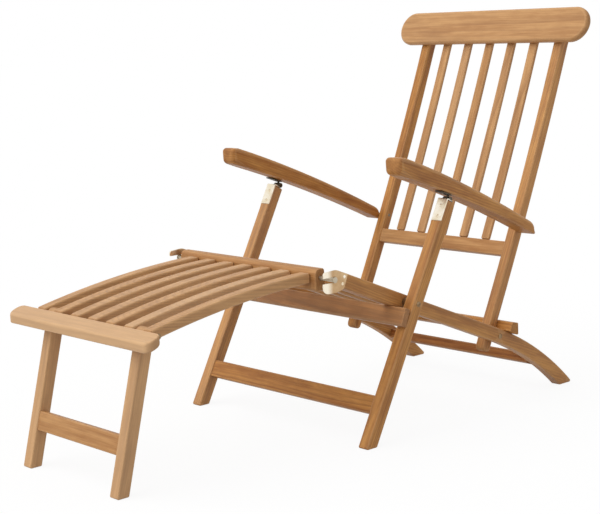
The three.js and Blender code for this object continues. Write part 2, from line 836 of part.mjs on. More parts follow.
function makeBatten() {
  const slatBottom = (y) => {
    const [front, ...rest] = footMemberTop();
    const next = rest.find((point) => point[0] > y);
    const share = (y - front[0]) / (next[0] - front[0]);
    return THREE.MathUtils.lerp(front[1], next[1], share) - footSlatDeep - gap;
  };
  const frontY = endBoardRearY + battenSetback;
  const rearY = frontY + battenWide;
  const shape = outline([
    [frontY, slatBottom(frontY) - battenDeep, railCorner],
    [rearY, slatBottom(rearY) - battenDeep, railCorner],
    [rearY, slatBottom(rearY)],
    [frontY, slatBottom(frontY)],
  ]);
  const reach = (footSlatCount - 1) / 2 * footPitch + footSlatWide / 2;
  return plank(shape, -reach, reach);
}

function addFootrest(chair) {
  addPart(chair, 'footrest_nose_bar', makeNoseBar(), paleTeak);
  addPart(chair, 'footrest_hook_pin_left', makeHookPin(noseHalf + noseShift), brass);
  addPart(chair, 'footrest_hook_pin_right', mirrored(makeHookPin(noseHalf - noseShift)), brass);
  const boltHole = roundHole(...footLegPivot, boltRadius + gap);
  const rail = footMember(footRailInner, footRailInner + footRailThick, footRailDeep, [boltHole]);
  addPair(chair, 'footrest_rail', rail, paleTeak);
  slatPlaces(footSlatCount, footPitch).forEach((x, i) => {
    const slat = footMember(x - footSlatWide / 2, x + footSlatWide / 2, footSlatDeep, []);
    addPart(chair, `footrest_slat_${i + 1}`, slat, paleTeak);
  });
  addPart(chair, 'footrest_end_board', makeEndBoard(), paleTeak);
  addPart(chair, 'footrest_batten', makeBatten(), redTeak);
}

function addFootrestLegs(chair) {
  const legs = leaningGroup(footLegFrontY, 0, footLegLean);
  chair.add(legs);
  const topRound = footLegDeep / 2;
  const shape = new THREE.Shape();
  shape.moveTo(0, 0);
  shape.lineTo(footLegDeep, footLegDeep * Math.tan(footLegLean));
  shape.lineTo(footLegDeep, footLegPivotUp);
  shape.absarc(footLegDeep / 2, footLegPivotUp, topRound, 0, Math.PI, false);
  shape.closePath();
  shape.holes.push(roundHole(footLegDeep / 2, footLegPivotUp, boltRadius + gap));
  const leg = plank(shape, footLegInner, footLegInner + footLegThick, roundSides / 2);
  addPair(legs, 'footrest_leg', leg, paleTeak);
  const reach = footLegInner - gap;
  const stretcher = block(
    -reach,
    reach,
    footStretcherInset,
    footStretcherInset + footStretcherThick,
    footStretcherUp,
    footStretcherUp + footStretcherTall,
  );
  addPart(legs, 'footrest_leg_stretcher', stretcher, paleTeak);
}

// Bolts of the footrest legs, carried by the footrest's side rails
function addFootrestBolts(chair) {
  const legFace = footLegInner + footLegThick;
  const headX = footRailInner + footRailThick + gap;
  const bolt = pivotBolt(footLegInner, legFace + gap, footRailInner - gap, headX, footLegPivot);
  addPair(chair, 'footrest_leg_bolt', bolt, brass);
}

const chair = new THREE.Group();
addSeatFrame(chair);
addBackFrame(chair);
addFrontLegs(chair);
addArms(chair);
addFootrest(chair);
addFootrestBolts(chair);
addFootrestLegs(chair);

// The origin is on the floor under the middle of the chair
const box = new THREE.Box3().setFromObject(chair, true);
chair.position.set(0, -(box.min.y + box.max.y) / 2, -box.min.z);

export default chair;
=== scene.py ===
import json
import math
import random

import bmesh
import bpy
from mathutils import Matrix, Vector


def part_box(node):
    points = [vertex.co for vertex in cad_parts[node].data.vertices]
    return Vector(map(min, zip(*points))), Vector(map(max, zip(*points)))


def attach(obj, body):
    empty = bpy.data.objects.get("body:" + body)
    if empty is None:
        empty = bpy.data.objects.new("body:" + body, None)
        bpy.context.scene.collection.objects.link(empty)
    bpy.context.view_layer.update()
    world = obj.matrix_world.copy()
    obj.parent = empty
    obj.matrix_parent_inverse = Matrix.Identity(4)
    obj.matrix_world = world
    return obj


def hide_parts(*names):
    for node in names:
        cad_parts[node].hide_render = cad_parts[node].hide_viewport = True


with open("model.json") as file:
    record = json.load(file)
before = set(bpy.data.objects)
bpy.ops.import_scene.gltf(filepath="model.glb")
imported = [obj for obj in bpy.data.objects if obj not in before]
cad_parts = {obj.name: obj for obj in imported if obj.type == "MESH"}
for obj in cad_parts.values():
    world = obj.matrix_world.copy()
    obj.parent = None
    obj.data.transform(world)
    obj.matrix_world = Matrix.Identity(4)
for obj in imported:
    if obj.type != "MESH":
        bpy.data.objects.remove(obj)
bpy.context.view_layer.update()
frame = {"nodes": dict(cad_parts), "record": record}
nodes = frame["nodes"]
record = frame["record"]
slotOf = {entry["node"]: entry["material_slot"] for entry in record["subparts"]}
bodyOf = {node: body for body, held in record["behaviour"]["bodies"].items() for node in held}


# Slopes of the members, in degrees
slopes = {"rail": 22.45, "leg": 28.06, "back": 23.8, "footLeg": 14.7, "arm": 20.0, "footrest": 7.5}


def leaning(angle):
    turn = math.radians(angle)
    return Vector((0, math.sin(turn), math.cos(turn)))


def falling(angle):
    turn = math.radians(angle)
    return Vector((0, math.cos(turn), -math.sin(turn)))


acrossChair = Vector((1, 0, 0))
upwards = Vector((0, 0, 1))
runs = {
    "rail": falling(slopes["rail"]),
    "leg": leaning(slopes["leg"]),
    "back": leaning(slopes["back"]),
    "footLeg": leaning(slopes["footLeg"]),
    "arm": falling(slopes["arm"]),
    "footrest": falling(slopes["footrest"]),
    "across": acrossChair,
}


class Signal:
    def __init__(self, paint, socket):
        self.paint = paint
        self.socket = socket

    def maths(self, operation, *others):
        values = dict(enumerate((self, *others)))
        return self.paint.add("ShaderNodeMath", {"operation": operation}, values)

    def reflected(self, operation, other):
        return self.paint.add("ShaderNodeMath", {"operation": operation}, {0: other, 1: self})

    def __add__(self, other):
        return self.maths("ADD", other)

    def __mul__(self, other):
        return self.maths("MULTIPLY", other)

    def __sub__(self, other):
        return self.maths("SUBTRACT", other)

    def __truediv__(self, other):
        return self.maths("DIVIDE", other)

    def __rsub__(self, other):
        return self.reflected("SUBTRACT", other)

    def __rtruediv__(self, other):
        return self.reflected("DIVIDE", other)

    __radd__ = __add__
    __rmul__ = __mul__


class Paint:
    def __init__(self, name, tree=None):
        self.material = None
        if tree is None:
            self.material = bpy.data.materials.new(name)
            self.material.use_nodes = True
            tree = self.material.node_tree
        self.tree = tree
        self.tree.nodes.clear()

    # settings are set first; an input is a number, a colour or another node's signal
    def add(self, kind, settings=None, inputs=None, output=0):
        node = self.tree.nodes.new(kind)
        for key, value in (settings or {}).items():
            setattr(node, key, value)
        for key, value in (inputs or {}).items():
            if isinstance(value, Signal):
                self.tree.links.new(value.socket, node.inputs[key])
            else:
                node.inputs[key].default_value = value
        return Signal(self, node.outputs[output]) if len(node.outputs) else node

    def mix(self, share, first, second):
        settings = {"data_type": "RGBA", "clamp_factor": True}
        return self.add("ShaderNodeMix", settings, {0: share, 6: first, 7: second}, 2)

    def vectors(self, operation, *values, output=0):
        inputs = dict(enumerate(values))
        return self.add("ShaderNodeVectorMath", {"operation": operation}, inputs, output)

    def attribute(self, name, output=2):
        return self.add("ShaderNodeAttribute", {"attribute_name": name}, None, output)

    def noise(self, place, stretch, detail, roughness=0.5):
        stretched = self.vectors("MULTIPLY", place, stretch)
        inputs = {"Vector": stretched, "Scale": 1.0, "Detail": detail, "Roughness": roughness}
        return self.add("ShaderNodeTexNoise", None, inputs)

    # 0 below one value, 1 above another, smooth between them
    def rise(self, value, low, high):
        inputs = {"Value": value, "From Min": low, "From Max": high}
        return self.add("ShaderNodeMapRange", {"interpolation_type": "SMOOTHSTEP"}, inputs)

    def bump(self, height, strength, distance):
        inputs = {"Strength": strength, "Distance": distance, "Height": height}
        return self.add("ShaderNodeBump", None, inputs)

    def finish(self, shader):
        self.add("ShaderNodeOutputMaterial", None, {"Surface": shader})
        return self.material


def toLinear(red, green, blue):
    values = [channel / 255 for channel in (red, green, blue)]
    return [v / 12.92 if v <= 0.04045 else ((v + 0.055) / 1.055) ** 2.4 for v in values] + [1]


# Teak: colours in sRGB bytes, sizes in metres; a rise is where a pattern starts and is full
teakLooks = {
    "honey_teak": {"light": (207, 147, 76), "dark": (164, 104, 47), "late": (118, 66, 28)},
    "pale_teak": {"light": (207, 157, 102), "dark": (175, 123, 72), "late": (138, 89, 48)},
    "red_teak": {"light": (182, 120, 62), "dark": (142, 84, 38), "late": (104, 56, 24)},
}
teak = {
    "ringGap": 0.0052,
    "ringWander": 0.03,
    "lateLeast": 0.25,
    "lateStrength": 0.45,
    "streakStrength": 0.42,
    "pale": (220, 184, 144),
    "deep": (112, 62, 28),
    "toneReach": 0.6,
    "ends": (158, 114, 76),
    "endStrength": 0.4,
    "worn": (228, 186, 136),
    "wornStrength": 0.16,
    "poreDepth": 0.35,
    "poreShade": 0.55,
    "patchRise": (0.38, 0.66),
    "lateRise": (0.35, 0.93),
    "poreRise": (0.66, 0.76),
    "bodyRise": (0.36, 0.65),
    "streakRise": (0.5, 0.72),
    "gloss": 0.3,
    "bump": 0.00025,
    "bumpStrength": 0.5,
}
# patterns: how close they are along the grain and across it, and how fine
teakPatterns = {
    "wander": {"stretch": (1.1, 7, 7), "detail": 2.0},
    "patch": {"stretch": (2.2, 26, 26), "detail": 1.0},
    "streak": {"stretch": (4.5, 70, 70), "detail": 2.0, "roughness": 0.55},
    "broad": {"stretch": (3.0, 60, 60), "detail": 3.0, "roughness": 0.55},
    "mottle": {"stretch": (20.0, 75, 75), "detail": 2.0, "roughness": 0.6},
    "fibre": {"stretch": (11.0, 420, 420), "detail": 3.0, "roughness": 0.6},
    "pores": {"stretch": (120.0, 2300, 2300), "detail": 1.0},
}
teakShares = {"broad": 0.46, "fibre": 0.3, "mottle": 0.24}
teakHeights = {"fibre": 0.6, "late": 0.5, "pores": 0.9}
teakRoughness = {"plain": 0.43, "fibre": 0.12, "ends": 0.2, "edge": 0.04}


def makeTeak(name, look):
    paint = Paint(name)
    grain = paint.attribute("grain", 1)
    tone, endGrain, edge = (paint.attribute(held) for held in ("tone", "endGrain", "edge"))
    pattern = {key: paint.noise(grain, **values) for key, values in teakPatterns.items()}
    radius = paint.vectors("LENGTH", paint.vectors("MULTIPLY", grain, (0, 1, 1)), output=1)
    wander = (pattern["wander"] - 0.5) * teak["ringWander"]
    ring = ((radius + wander) / teak["ringGap"]).maths("FRACT")
    patch = paint.rise(pattern["patch"], *teak["patchRise"])
    late = paint.rise(ring, *teak["lateRise"]) * (1 - paint.rise(ring, teak["lateRise"][1], 1.0))
    late = late * (patch * (1 - teak["lateLeast"]) + teak["lateLeast"])
    broad, mottle, fibre = (pattern[key] for key in ("broad", "mottle", "fibre"))
    pores = paint.rise(pattern["pores"], *teak["poreRise"])
    body = broad * teakShares["broad"] + fibre * teakShares["fibre"] + mottle * teakShares["mottle"]
    body = paint.rise(body, *teak["bodyRise"])
    color = paint.mix(body, toLinear(*look["dark"]), toLinear(*look["light"]))
    color = paint.mix(late * teak["lateStrength"], color, toLinear(*look["late"]))
    streak = paint.rise(pattern["streak"], *teak["streakRise"])
    color = paint.mix(streak * teak["streakStrength"], color, toLinear(*look["late"]))
    poreColor = toLinear(*[channel * teak["poreShade"] for channel in look["dark"]])
    color = paint.mix(pores * teak["poreDepth"], color, poreColor)
    # the colour level darkens or pales each piece, for its own wood colour and, on some pieces, as
    # painted light and shade
    color = paint.mix((tone - 0.5) * 2 * teak["toneReach"], color, toLinear(*teak["deep"]))
    color = paint.mix((0.5 - tone) * 2 * teak["toneReach"], color, toLinear(*teak["pale"]))
    color = paint.mix(endGrain * teak["endStrength"], color, toLinear(*teak["ends"]))
    color = paint.mix(edge * teak["wornStrength"], color, toLinear(*teak["worn"]))
    height = fibre * teakHeights["fibre"] + late * teakHeights["late"] - pores * teakHeights["pores"]
    bump = paint.bump(height, teak["bumpStrength"], teak["bump"])
    rough = teakRoughness["plain"] + fibre * teakRoughness["fibre"]
    rough = rough + endGrain * teakRoughness["ends"] - edge * teakRoughness["edge"]
    return paint.finish(paint.add("ShaderNodeBsdfPrincipled", None, {
        "Base Color": color, "Roughness": rough, "Normal": bump, "Specular IOR Level": teak["gloss"],
    }))


# Brass: two finishes, darkened towards dark brown where a piece carries that attribute, which is
# painted shade on the arm hinges and plain darkening on the bolts and pins, and a painted near-white
# highlight where a piece carries that one
brassLooks = {
    "polishedBrass": {"bright": (250, 242, 226), "dull": (238, 224, 196), "roughness": 0.3},
    "wornBrass": {"bright": (206, 176, 136), "dull": (190, 156, 116), "roughness": 0.34},
}
brassWear = {
    "tarnish": (52, 36, 22), "rub": (250, 240, 220), "speck": (128, 100, 58), "speckStrength": 0.3,
    "cloudRise": (0.35, 0.7), "speckRise": (0.7, 0.76), "tarnishGap": 0.2, "bump": 0.0001,
    "bumpStrength": 0.3,
}
brassPatterns = {
    "cloud": {"stretch": (55, 55, 55), "detail": 3.0},
    "brush": {"stretch": (900, 160, 160), "detail": 2.0},
    "speck": {"stretch": (650, 650, 650), "detail": 1.0},
}
brassRoughness = {"cloud": -0.05, "brush": 0.1, "speck": 0.2, "tarnish": 0.2}


def makeBrass(name, look):
    paint = Paint(name)
    place = paint.add("ShaderNodeTexCoord", None, None, 3)
    tarnish, rub = paint.attribute("tarnish"), paint.attribute("rub")
    cloud, brush, speck = (paint.noise(place, **values) for values in brassPatterns.values())
    cloud = paint.rise(cloud, *brassWear["cloudRise"])
    speck = paint.rise(speck, *brassWear["speckRise"])
    color = paint.mix(cloud, toLinear(*look["dull"]), toLinear(*look["bright"]))
    # painted near-white highlight where a piece carries that attribute
    color = paint.mix(rub, color, toLinear(*brassWear["rub"]))
    color = paint.mix(speck * brassWear["speckStrength"], color, toLinear(*brassWear["speck"]))
    # dark brown: painted shade on the arm hinges, plain darkening on the bolts and pins, thinner
    # where the cloud is bright
    film = tarnish * (1 - cloud * brassWear["tarnishGap"])
    color = paint.mix(film, color, toLinear(*brassWear["tarnish"]))
    rough = look["roughness"]
    for signal, key in ((cloud, "cloud"), (brush, "brush"), (speck, "speck"), (tarnish, "tarnish")):
        rough = rough + signal * brassRoughness[key]
    bump = paint.bump(brush, brassWear["bumpStrength"], brassWear["bump"])
    inputs = {"Base Color": color, "Metallic": 1.0, "Roughness": rough, "Normal": bump}
    return paint.finish(paint.add("ShaderNodeBsdfPrincipled", None, inputs))


finishes = {slot: makeTeak(slot.replace("_t", "T"), look) for slot, look in teakLooks.items()}
finishes.update({name: makeBrass(name, look) for name, look in brassLooks.items()})
finishes["brass"] = finishes["polishedBrass"]
print("materials made:", ", ".join(finishes))


# Outlines, read from the flat ends of the frame's own solids: lengths in metres, turns in radians
outlineRules = {
    "weld": 0.00001, "levelWithin": 0.0001, "facing": 0.999,
    "cornerTurn": 0.4, "backTurn": 2.6, "tinyStep": 0.0006,
    "sideShare": 0.45, "mitreLimit": 0.3, "roomShare": 0.93, "noTurn": 0.01,
    "holeClear": 0.0002, "sideStep": 0.004,
}


def frameAxes(facing, up):
    third = facing.normalized()
    second = (up - third * up.dot(third)).normalized()
    return Matrix((second.cross(third), second, third)).transposed()


def chained(edges):
    following = {}
    for first, second in edges:
        following.setdefault(first, []).append(second)
        following.setdefault(second, []).append(first)
    loops = []
    while following:
        start = next(iter(following))
        loop, here, before = [start], start, None
        while True:
            ahead = [v for v in following[here] if v != before] or following[here]
            before, here = here, ahead[0]
            if here == start:
                break
            loop.append(here)
        for vertex in loop:
            del following[vertex]
        loops.append(loop)
    return loops


def signedArea(points):
    pairs = zip(points, points[1:] + points[:1])
    return sum(a.x * b.y - b.x * a.y for a, b in pairs) / 2


# outer outline, holes, axes and depths of a solid that has a flat end
def endOutlines(node, facing, up, depth=None):
    solid = bmesh.new()
    solid.from_mesh(nodes[node].data)
    bmesh.ops.remove_doubles(solid, verts=solid.verts, dist=outlineRules["weld"])
    solid.normal_update()
    axes = frameAxes(facing, up)
    back = axes.transposed()
    local = {v: back @ v.co for v in solid.verts}
    low = min(p.z for p in local.values())
    high = max(p.z for p in local.values()) if depth is None else depth
    cap = [
        f for f in solid.faces
        if f.normal.dot(facing) > outlineRules["facing"]
        and abs(local[f.verts[0]].z - high) < outlineRules["levelWithin"]
    ]
    edges = [
        tuple(e.verts) for f in cap for e in f.edges
        if len([g for g in e.link_faces if g in cap]) == 1
    ]
    loops = [[local[v].xy for v in loop] for loop in chained(edges)]
    solid.free()
    loops.sort(key=lambda loop: -abs(signedArea(loop)))
    loops = [loop if signedArea(loop) > 0 else loop[::-1] for loop in loops]
    return loops[0], loops[1:], axes, low, high


def crossed(first, second):
    return first.x * second.y - first.y * second.x


def turnBetween(first, second):
    return math.atan2(crossed(first, second), first.dot(second))


def grouped(points, reach):
    count = len(points)
    apart = [i for i in range(count) if (points[i] - points[i - 1]).length >= reach]
    start = apart[0] if apart else 0
    groups = [[points[start]]]
    for step in range(1, count):
        point = points[(start + step) % count]
        if (point - groups[-1][-1]).length < reach:
            groups[-1].append(point)
        else:
            groups.append([point])
    return groups


# a corner that the frame rounds off a little becomes one point again, and so does a tiny step
def sharpened(points, reach=0.0032, chord=0.0065):
    groups = grouped(points, reach)
    result = []
    for index, group in enumerate(groups):
        before, after = groups[index - 1][-1], groups[(index + 1) % len(groups)][0]
        coming, going = group[0] - before, after - group[-1]
        span = group[-1] - group[0]
        turn = abs(turnBetween(coming, going))
        corner = outlineRules["cornerTurn"] < turn < outlineRules["backTurn"]
        if len(group) > 1 and span.length < outlineRules["tinyStep"]:
            result.append((group[0] + group[-1]) / 2)
        elif len(group) > 1 and span.length < chord and corner:
            result.append(group[0] + coming * (crossed(span, going) / crossed(coming, going)))
        else:
            result.extend(group)
    return result


def rounded(points, radius, steps=5):
    result = []
    for index, here in enumerate(points):
        before, after = points[index - 1], points[(index + 1) % len(points)]
        coming, going = here - before, after - here
        turn = turnBetween(coming, going)
        if turn < outlineRules["cornerTurn"]:
            result.append(here)
            continue
        most = min(coming.length, going.length) * outlineRules["sideShare"]
        reach = min(radius * math.tan(turn / 2), most)
        size = reach / math.tan(turn / 2)
        first = here - coming.normalized() * reach
        inward = Vector((-coming.y, coming.x)).normalized()
        centre = first + inward * size
        for step in range(steps + 1):
            spin = Matrix.Rotation(turn * step / steps, 2)
            result.append(centre + spin @ (first - centre))
    return result


def inset(points, distances):
    result = []
    for index, here in enumerate(points):
        before, after = points[index - 1], points[(index + 1) % len(points)]
        first = (here - before).normalized()
        second = (after - here).normalized()
        first, second = Vector((-first.y, first.x)), Vector((-second.y, second.x))
        push = (first + second) / max(1 + first.dot(second), outlineRules["mitreLimit"])
        result.append(here + push * distances[index])
    return result


# how far the outline can shrink at each point before its rounded corners would turn inside out
def roomAt(points):
    rooms = []
    for index, here in enumerate(points):
        coming, going = here - points[index - 1], points[(index + 1) % len(points)] - here
        turn = turnBetween(coming, going)
        short = min(coming.length, going.length)
        straight = turn <= outlineRules["noTurn"]
        rooms.append(math.inf if straight else short / (2 * math.tan(turn / 2)))
    nearby = zip(rooms[-1:] + rooms[:-1], rooms, rooms[1:] + rooms[:1])
    return [outlineRules["roomShare"] * min(three) for three in nearby]


# more points along the sides of an outline
def divided(points, longest):
    result = []
    for here, after in zip(points, points[1:] + points[:1]):
        parts = math.ceil((after - here).length / longest)
        result.extend(here.lerp(after, step / parts) for step in range(parts))
    return result


def newObject(name, mesh):
    made = bpy.data.objects.new(name, mesh)
    bpy.context.scene.collection.objects.link(made)
    return made


# a flat outline pushed out between two depths, with its edges rounded over, clear of its holes;
# shares make the rounding fuller or slighter from point to point
def boardMesh(name, outline, holes, axes, low, high, edge, shares=None, steps=5):
    shares = shares or [1] * len(outline)
    edges = [min(edge * share, room) for share, room in zip(shares, roomAt(outline))]
    if holes:
        rim = [spot for hole in holes for spot in hole]
        room = [min((point - spot).length for spot in rim) for point in outline]
        edges = [min(edge, most - outlineRules["holeClear"]) for edge, most in zip(edges, room)]
    rings = []
    for side, start in ((1, low), (-1, high)):
        for step in range(steps + 1):
            turn = math.pi / 2 * step / steps
            sunk = [e * (1 - math.sin(turn)) for e in edges]
            depth = [start + side * e * (1 - math.cos(turn)) for e in edges]
            ring = inset(outline, sunk)
            rings.append([Vector((p.x, p.y, d)) for p, d in zip(ring, depth)])
    rings = rings[:steps + 1] + rings[steps + 1:][::-1]
    solid = bmesh.new()
    placed = [[solid.verts.new(axes @ p) for p in ring] for ring in rings]
    count = len(outline)
    for lower, upper in zip(placed, placed[1:]):
        for i in range(count):
            j = (i + 1) % count
            solid.faces.new((lower[i], lower[j], upper[j], upper[i]))
    walls = [
        [[solid.verts.new(axes @ Vector((*p, depth))) for p in hole] for depth in (low, high)]
        for hole in holes
    ]
    for wall in walls:
        for i in range(len(wall[0])):
            j = (i + 1) % len(wall[0])
            solid.faces.new((wall[0][i], wall[1][i], wall[1][j], wall[0][j]))
    for end, ring, flip in ((0, placed[0], True), (1, placed[-1], False)):
        loops = [ring] + [wall[end] for wall in walls]
        if walls:
            pairs = [pair for loop in loops for pair in zip(loop, loop[1:] + loop[:1])]
            sides = [solid.edges.get(pair) for pair in pairs]
            bmesh.ops.triangle_fill(solid, use_beauty=True, edges=sides)
        else:
            solid.faces.new(ring[::-1] if flip else ring)
    bmesh.ops.recalc_face_normals(solid, faces=solid.faces)
    mesh = bpy.data.meshes.new(name)
    solid.to_mesh(mesh)
    solid.free()
    return mesh


def roundedBoard(node, facing, up, edge, corner):
    outline, holes, axes, low, high = endOutlines(node, facing, up)
    outline = rounded(sharpened(outline), corner)
    if holes:
        outline = divided(outline, outlineRules["sideStep"])
    return newObject(node + "Dressed", boardMesh(node, outline, holes, axes, low, high, edge))


def applyModifiers(made):
    graph = bpy.context.evaluated_depsgraph_get()
    mesh = bpy.data.meshes.new_from_object(
        made.evaluated_get(graph), preserve_all_data_layers=True, depsgraph=graph
    )
    made.modifiers.clear()
    made.data = mesh
    return made


def carve(made, cutter):
    modifier = made.modifiers.new("cut", "BOOLEAN")
    modifier.operation = "DIFFERENCE"
    modifier.solver = "EXACT"
    modifier.object = cutter
    applyModifiers(made)
    bpy.data.objects.remove(cutter)
    return made


# even shading over the flat faces; angles above the given one, in degrees, stay sharp
flatWeight = 80
woodAngle = 40
brassAngle = 35


def smoothed(made, sharpAngle=woodAngle):
    made.data.shade_smooth()
    made.data.set_sharp_from_angle(angle=math.radians(sharpAngle))
    modifier = made.modifiers.new("even", "WEIGHTED_NORMAL")
    modifier.keep_sharp = True
    modifier.weight = flatWeight
    return applyModifiers(made)


# How a piece lies in its tree, in metres, and how far its tone and slant may stray
grainLook = {
    "alongTree": 20, "besideHeart": 0.09, "fromHeart": (0.05, 0.14),
    "slant": 0.03, "slantThrough": 0.6, "toneSpread": 0.09, "endSlope": 1.6, "edgeArea": 0.12,
    "rowLeast": (-9, -0.06, -0.03), "rowMost": (9, 0.06, 0.05), "rowTone": 0.012,
}


# lays the grain along a piece: distances from the heart of the tree, a colour level that carries
# painted light and shade as well as the wood's own colour, the ends and edges
def layGrain(made, run, seed, tilt=None, tone=0.5):
    dice = random.Random(seed)
    mesh = made.data
    side = acrossChair if abs(run.x) < 0.5 else upwards
    side = (side - run * side.dot(run)).normalized()
    through = run.cross(side)
    middle = sum((v.co for v in mesh.vertices), Vector()) / len(mesh.vertices)
    heart = Vector((
        dice.uniform(-grainLook["alongTree"], grainLook["alongTree"]),
        dice.uniform(-grainLook["besideHeart"], grainLook["besideHeart"]),
        dice.uniform(*grainLook["fromHeart"]),
    ))
    slant = dice.uniform(-grainLook["slant"], grainLook["slant"]) if tilt is None else tilt
    level = tone + dice.uniform(-grainLook["toneSpread"], grainLook["toneSpread"])
    places = []
    for vertex in mesh.vertices:
        away = vertex.co - middle
        along = away.dot(run)
        beside = away.dot(side) + along * slant
        deep = away.dot(through) + along * slant * grainLook["slantThrough"]
        places.append(heart + Vector((along, beside, deep)))
    ends, edges = [0.0] * len(mesh.loops), [0.0] * len(mesh.loops)
    largest = max(polygon.area for polygon in mesh.polygons)
    for polygon in mesh.polygons:
        facing = abs(polygon.normal.dot(run))
        narrow = polygon.area < largest * grainLook["edgeArea"] and facing < 0.5
        for corner in polygon.loop_indices:
            ends[corner] = max(0.0, 1 - (1 - facing) * grainLook["endSlope"])
            edges[corner] = float(narrow)
    mesh.attributes.new("grain", "FLOAT_VECTOR", "POINT").data.foreach_set(
        "vector", [number for place in places for number in place]
    )
    levels = [level] * len(places)
    for name, kind, values in (
        ("tone", "POINT", levels), ("endGrain", "CORNER", ends), ("edge", "CORNER", edges)
    ):
        mesh.attributes.new(name, "FLOAT", kind).data.foreach_set("value", values)
    return made


def ownPiece(made, name, body, slot, *replaced):
    made.name = name
    made.data.name = name
    made.data.materials.clear()
    made.data.materials.append(finishes[slot])
    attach(made, body)
    if replaced:
        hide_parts(*replaced)
    return made


# Boards that are flat on both sides of the chair: run of the grain, edge and corner rounding
# a colour level above 0.5 darkens a board and one below pales it, for its own wood colour and as
# painted light and shade: the stretchers under the seat and the footrest are darker as painted
# shade, the footrest's legs paler as painted light
boards = {
    "seat_rail": {"run": "rail", "edge": 0.003, "corner": 0.004, "tone": 0.42},
    "leg_stop_bar": {"run": "across", "edge": 0.002, "corner": 0.0025, "tone": 0.36},
    "seat_front_crossbar": {"run": "across", "edge": 0.0015, "corner": 0.002},
    "seat_rear_crossbar": {"run": "across", "edge": 0.0015, "corner": 0.002},
    "back_stop_bar": {"run": "across", "edge": 0.002, "corner": 0.003},
    "rear_stretcher": {"run": "across", "edge": 0.0012, "corner": 0.0035, "tone": 0.6},
    "back_stile": {"run": "back", "edge": 0.0035, "corner": 0.0042, "tone": 0.42},
    "back_crossrail": {"run": "across", "edge": 0.0012, "corner": 0.0025, "tone": 0.55},
    "front_leg_stretcher": {"run": "across", "edge": 0.002, "corner": 0.003, "tone": 0.72},
    "front_leg": {"run": "leg", "edge": 0.003, "corner": 0.0038, "tone": 0.37},
    "footrest_nose_bar": {"run": "across", "edge": 0.003, "corner": 0.0038, "tone": 0.66},
    "footrest_rail": {"run": "footrest", "edge": 0.004, "corner": 0.0047, "tone": 0.4},
    "footrest_batten": {"run": "across", "edge": 0.0015, "corner": 0.0025},
    "footrest_leg": {"run": "footLeg", "edge": 0.003, "corner": 0.0038, "tone": 0.25},
    "footrest_leg_stretcher": {"run": "across", "edge": 0.002, "corner": 0.003, "tone": 0.5},
}


def familyOf(node):
    return node.removesuffix("_left").removesuffix("_right")


def pieceName(node):
    first, *rest = node.split("_")
    return first + "".join(word.capitalize() for word in rest)


for node in sorted(nodes):
    look = boards.get(familyOf(node))
    if not look:
        continue
    inner = acrossChair if node.endswith("_right") else -acrossChair
    made = roundedBoard(node, inner, upwards, look["edge"], look["corner"])
    smoothed(made)
    layGrain(made, runs[look["run"]], node, None, look.get("tone", 0.5))
    ownPiece(made, pieceName(node) + "Wood", bodyOf[node], slotOf[node], node)
print("boards dressed")


# Headboard: half round ends and softly rounded faces
headboardLook = {"edge": 0.0075, "corner": 0.002, "slant": 0.012}
facing = falling(slopes["back"]) * -1
headboard = roundedBoard(
    "headboard", facing, runs["back"], headboardLook["edge"], headboardLook["corner"]
)
smoothed(headboard)
layGrain(headboard, acrossChair, "headboard", headboardLook["slant"])
ownPiece(headboard, "headboardWood", "back_frame", slotOf["headboard"], "headboard")


# Arms: edges round along the top, slighter below and fullest round the front end, and a blind bore
# for the pin of the back frame
armLook = {
    "topEdge": 0.008, "lowShare": 0.35, "noseShare": 1.5, "noseLong": 0.02, "corner": 0.013,
    "chord": 0.0095, "edgeSteps": 6, "splay": 2.6,
    "boreRadius": 0.0065, "boreLong": 0.048, "boreMiddle": 0.2255, "boreSides": 24,
}
for side, sign in (("left", 1), ("right", -1)):
    node = "arm_" + side
    turn = math.radians(armLook["splay"])
    outward = Vector((math.cos(turn) * sign, math.sin(turn), 0))
    outline, holes, axes, low, high = endOutlines(node, outward, upwards)
    outline = rounded(sharpened(outline, chord=armLook["chord"]), armLook["corner"])
    nose = min(outline, key=lambda p: (axes @ Vector((*p, 0))).y)
    shares = []
    for index, point in enumerate(outline):
        along = (outline[(index + 1) % len(outline)] - outline[index - 1]).normalized()
        upper = max(0.0, min(1.0, (1 - along.x) / 2))
        share = armLook["lowShare"] + (1 - armLook["lowShare"]) * upper
        behind = max(0.0, abs(point.x - nose.x) - armLook["corner"])
        near = max(0.0, 1 - behind / armLook["noseLong"])
        shares.append(share + (armLook["noseShare"] - share) * near)
    mesh = boardMesh(
        node, outline, [], axes, low, high, armLook["topEdge"], shares, armLook["edgeSteps"]
    )
    made = newObject(node + "Wood", mesh)
    pinLow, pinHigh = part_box("arm_pin_" + side)
    centre = (pinLow + pinHigh) / 2
    bpy.ops.mesh.primitive_cylinder_add(
        vertices=armLook["boreSides"], radius=armLook["boreRadius"], depth=armLook["boreLong"],
        location=(sign * armLook["boreMiddle"], centre.y, centre.z), rotation=(0, math.pi / 2, 0)
    )
    carve(made, bpy.context.object)
    smoothed(made)
    layGrain(made, runs["arm"], node)
    ownPiece(made, "arm" + side.capitalize() + "Wood", node, slotOf[node], node)
print("headboard and arms dressed")


# End board of the footrest: a sloping board with upright faces, its corners rounded in plan
# the end board's very low colour level makes it much paler: painted light
endBoardLook = {
    "thick": 0.021, "planRound": 0.017, "planSteps": 10, "edge": 0.0042,
    "slant": 0.01, "tone": 0.06,
}


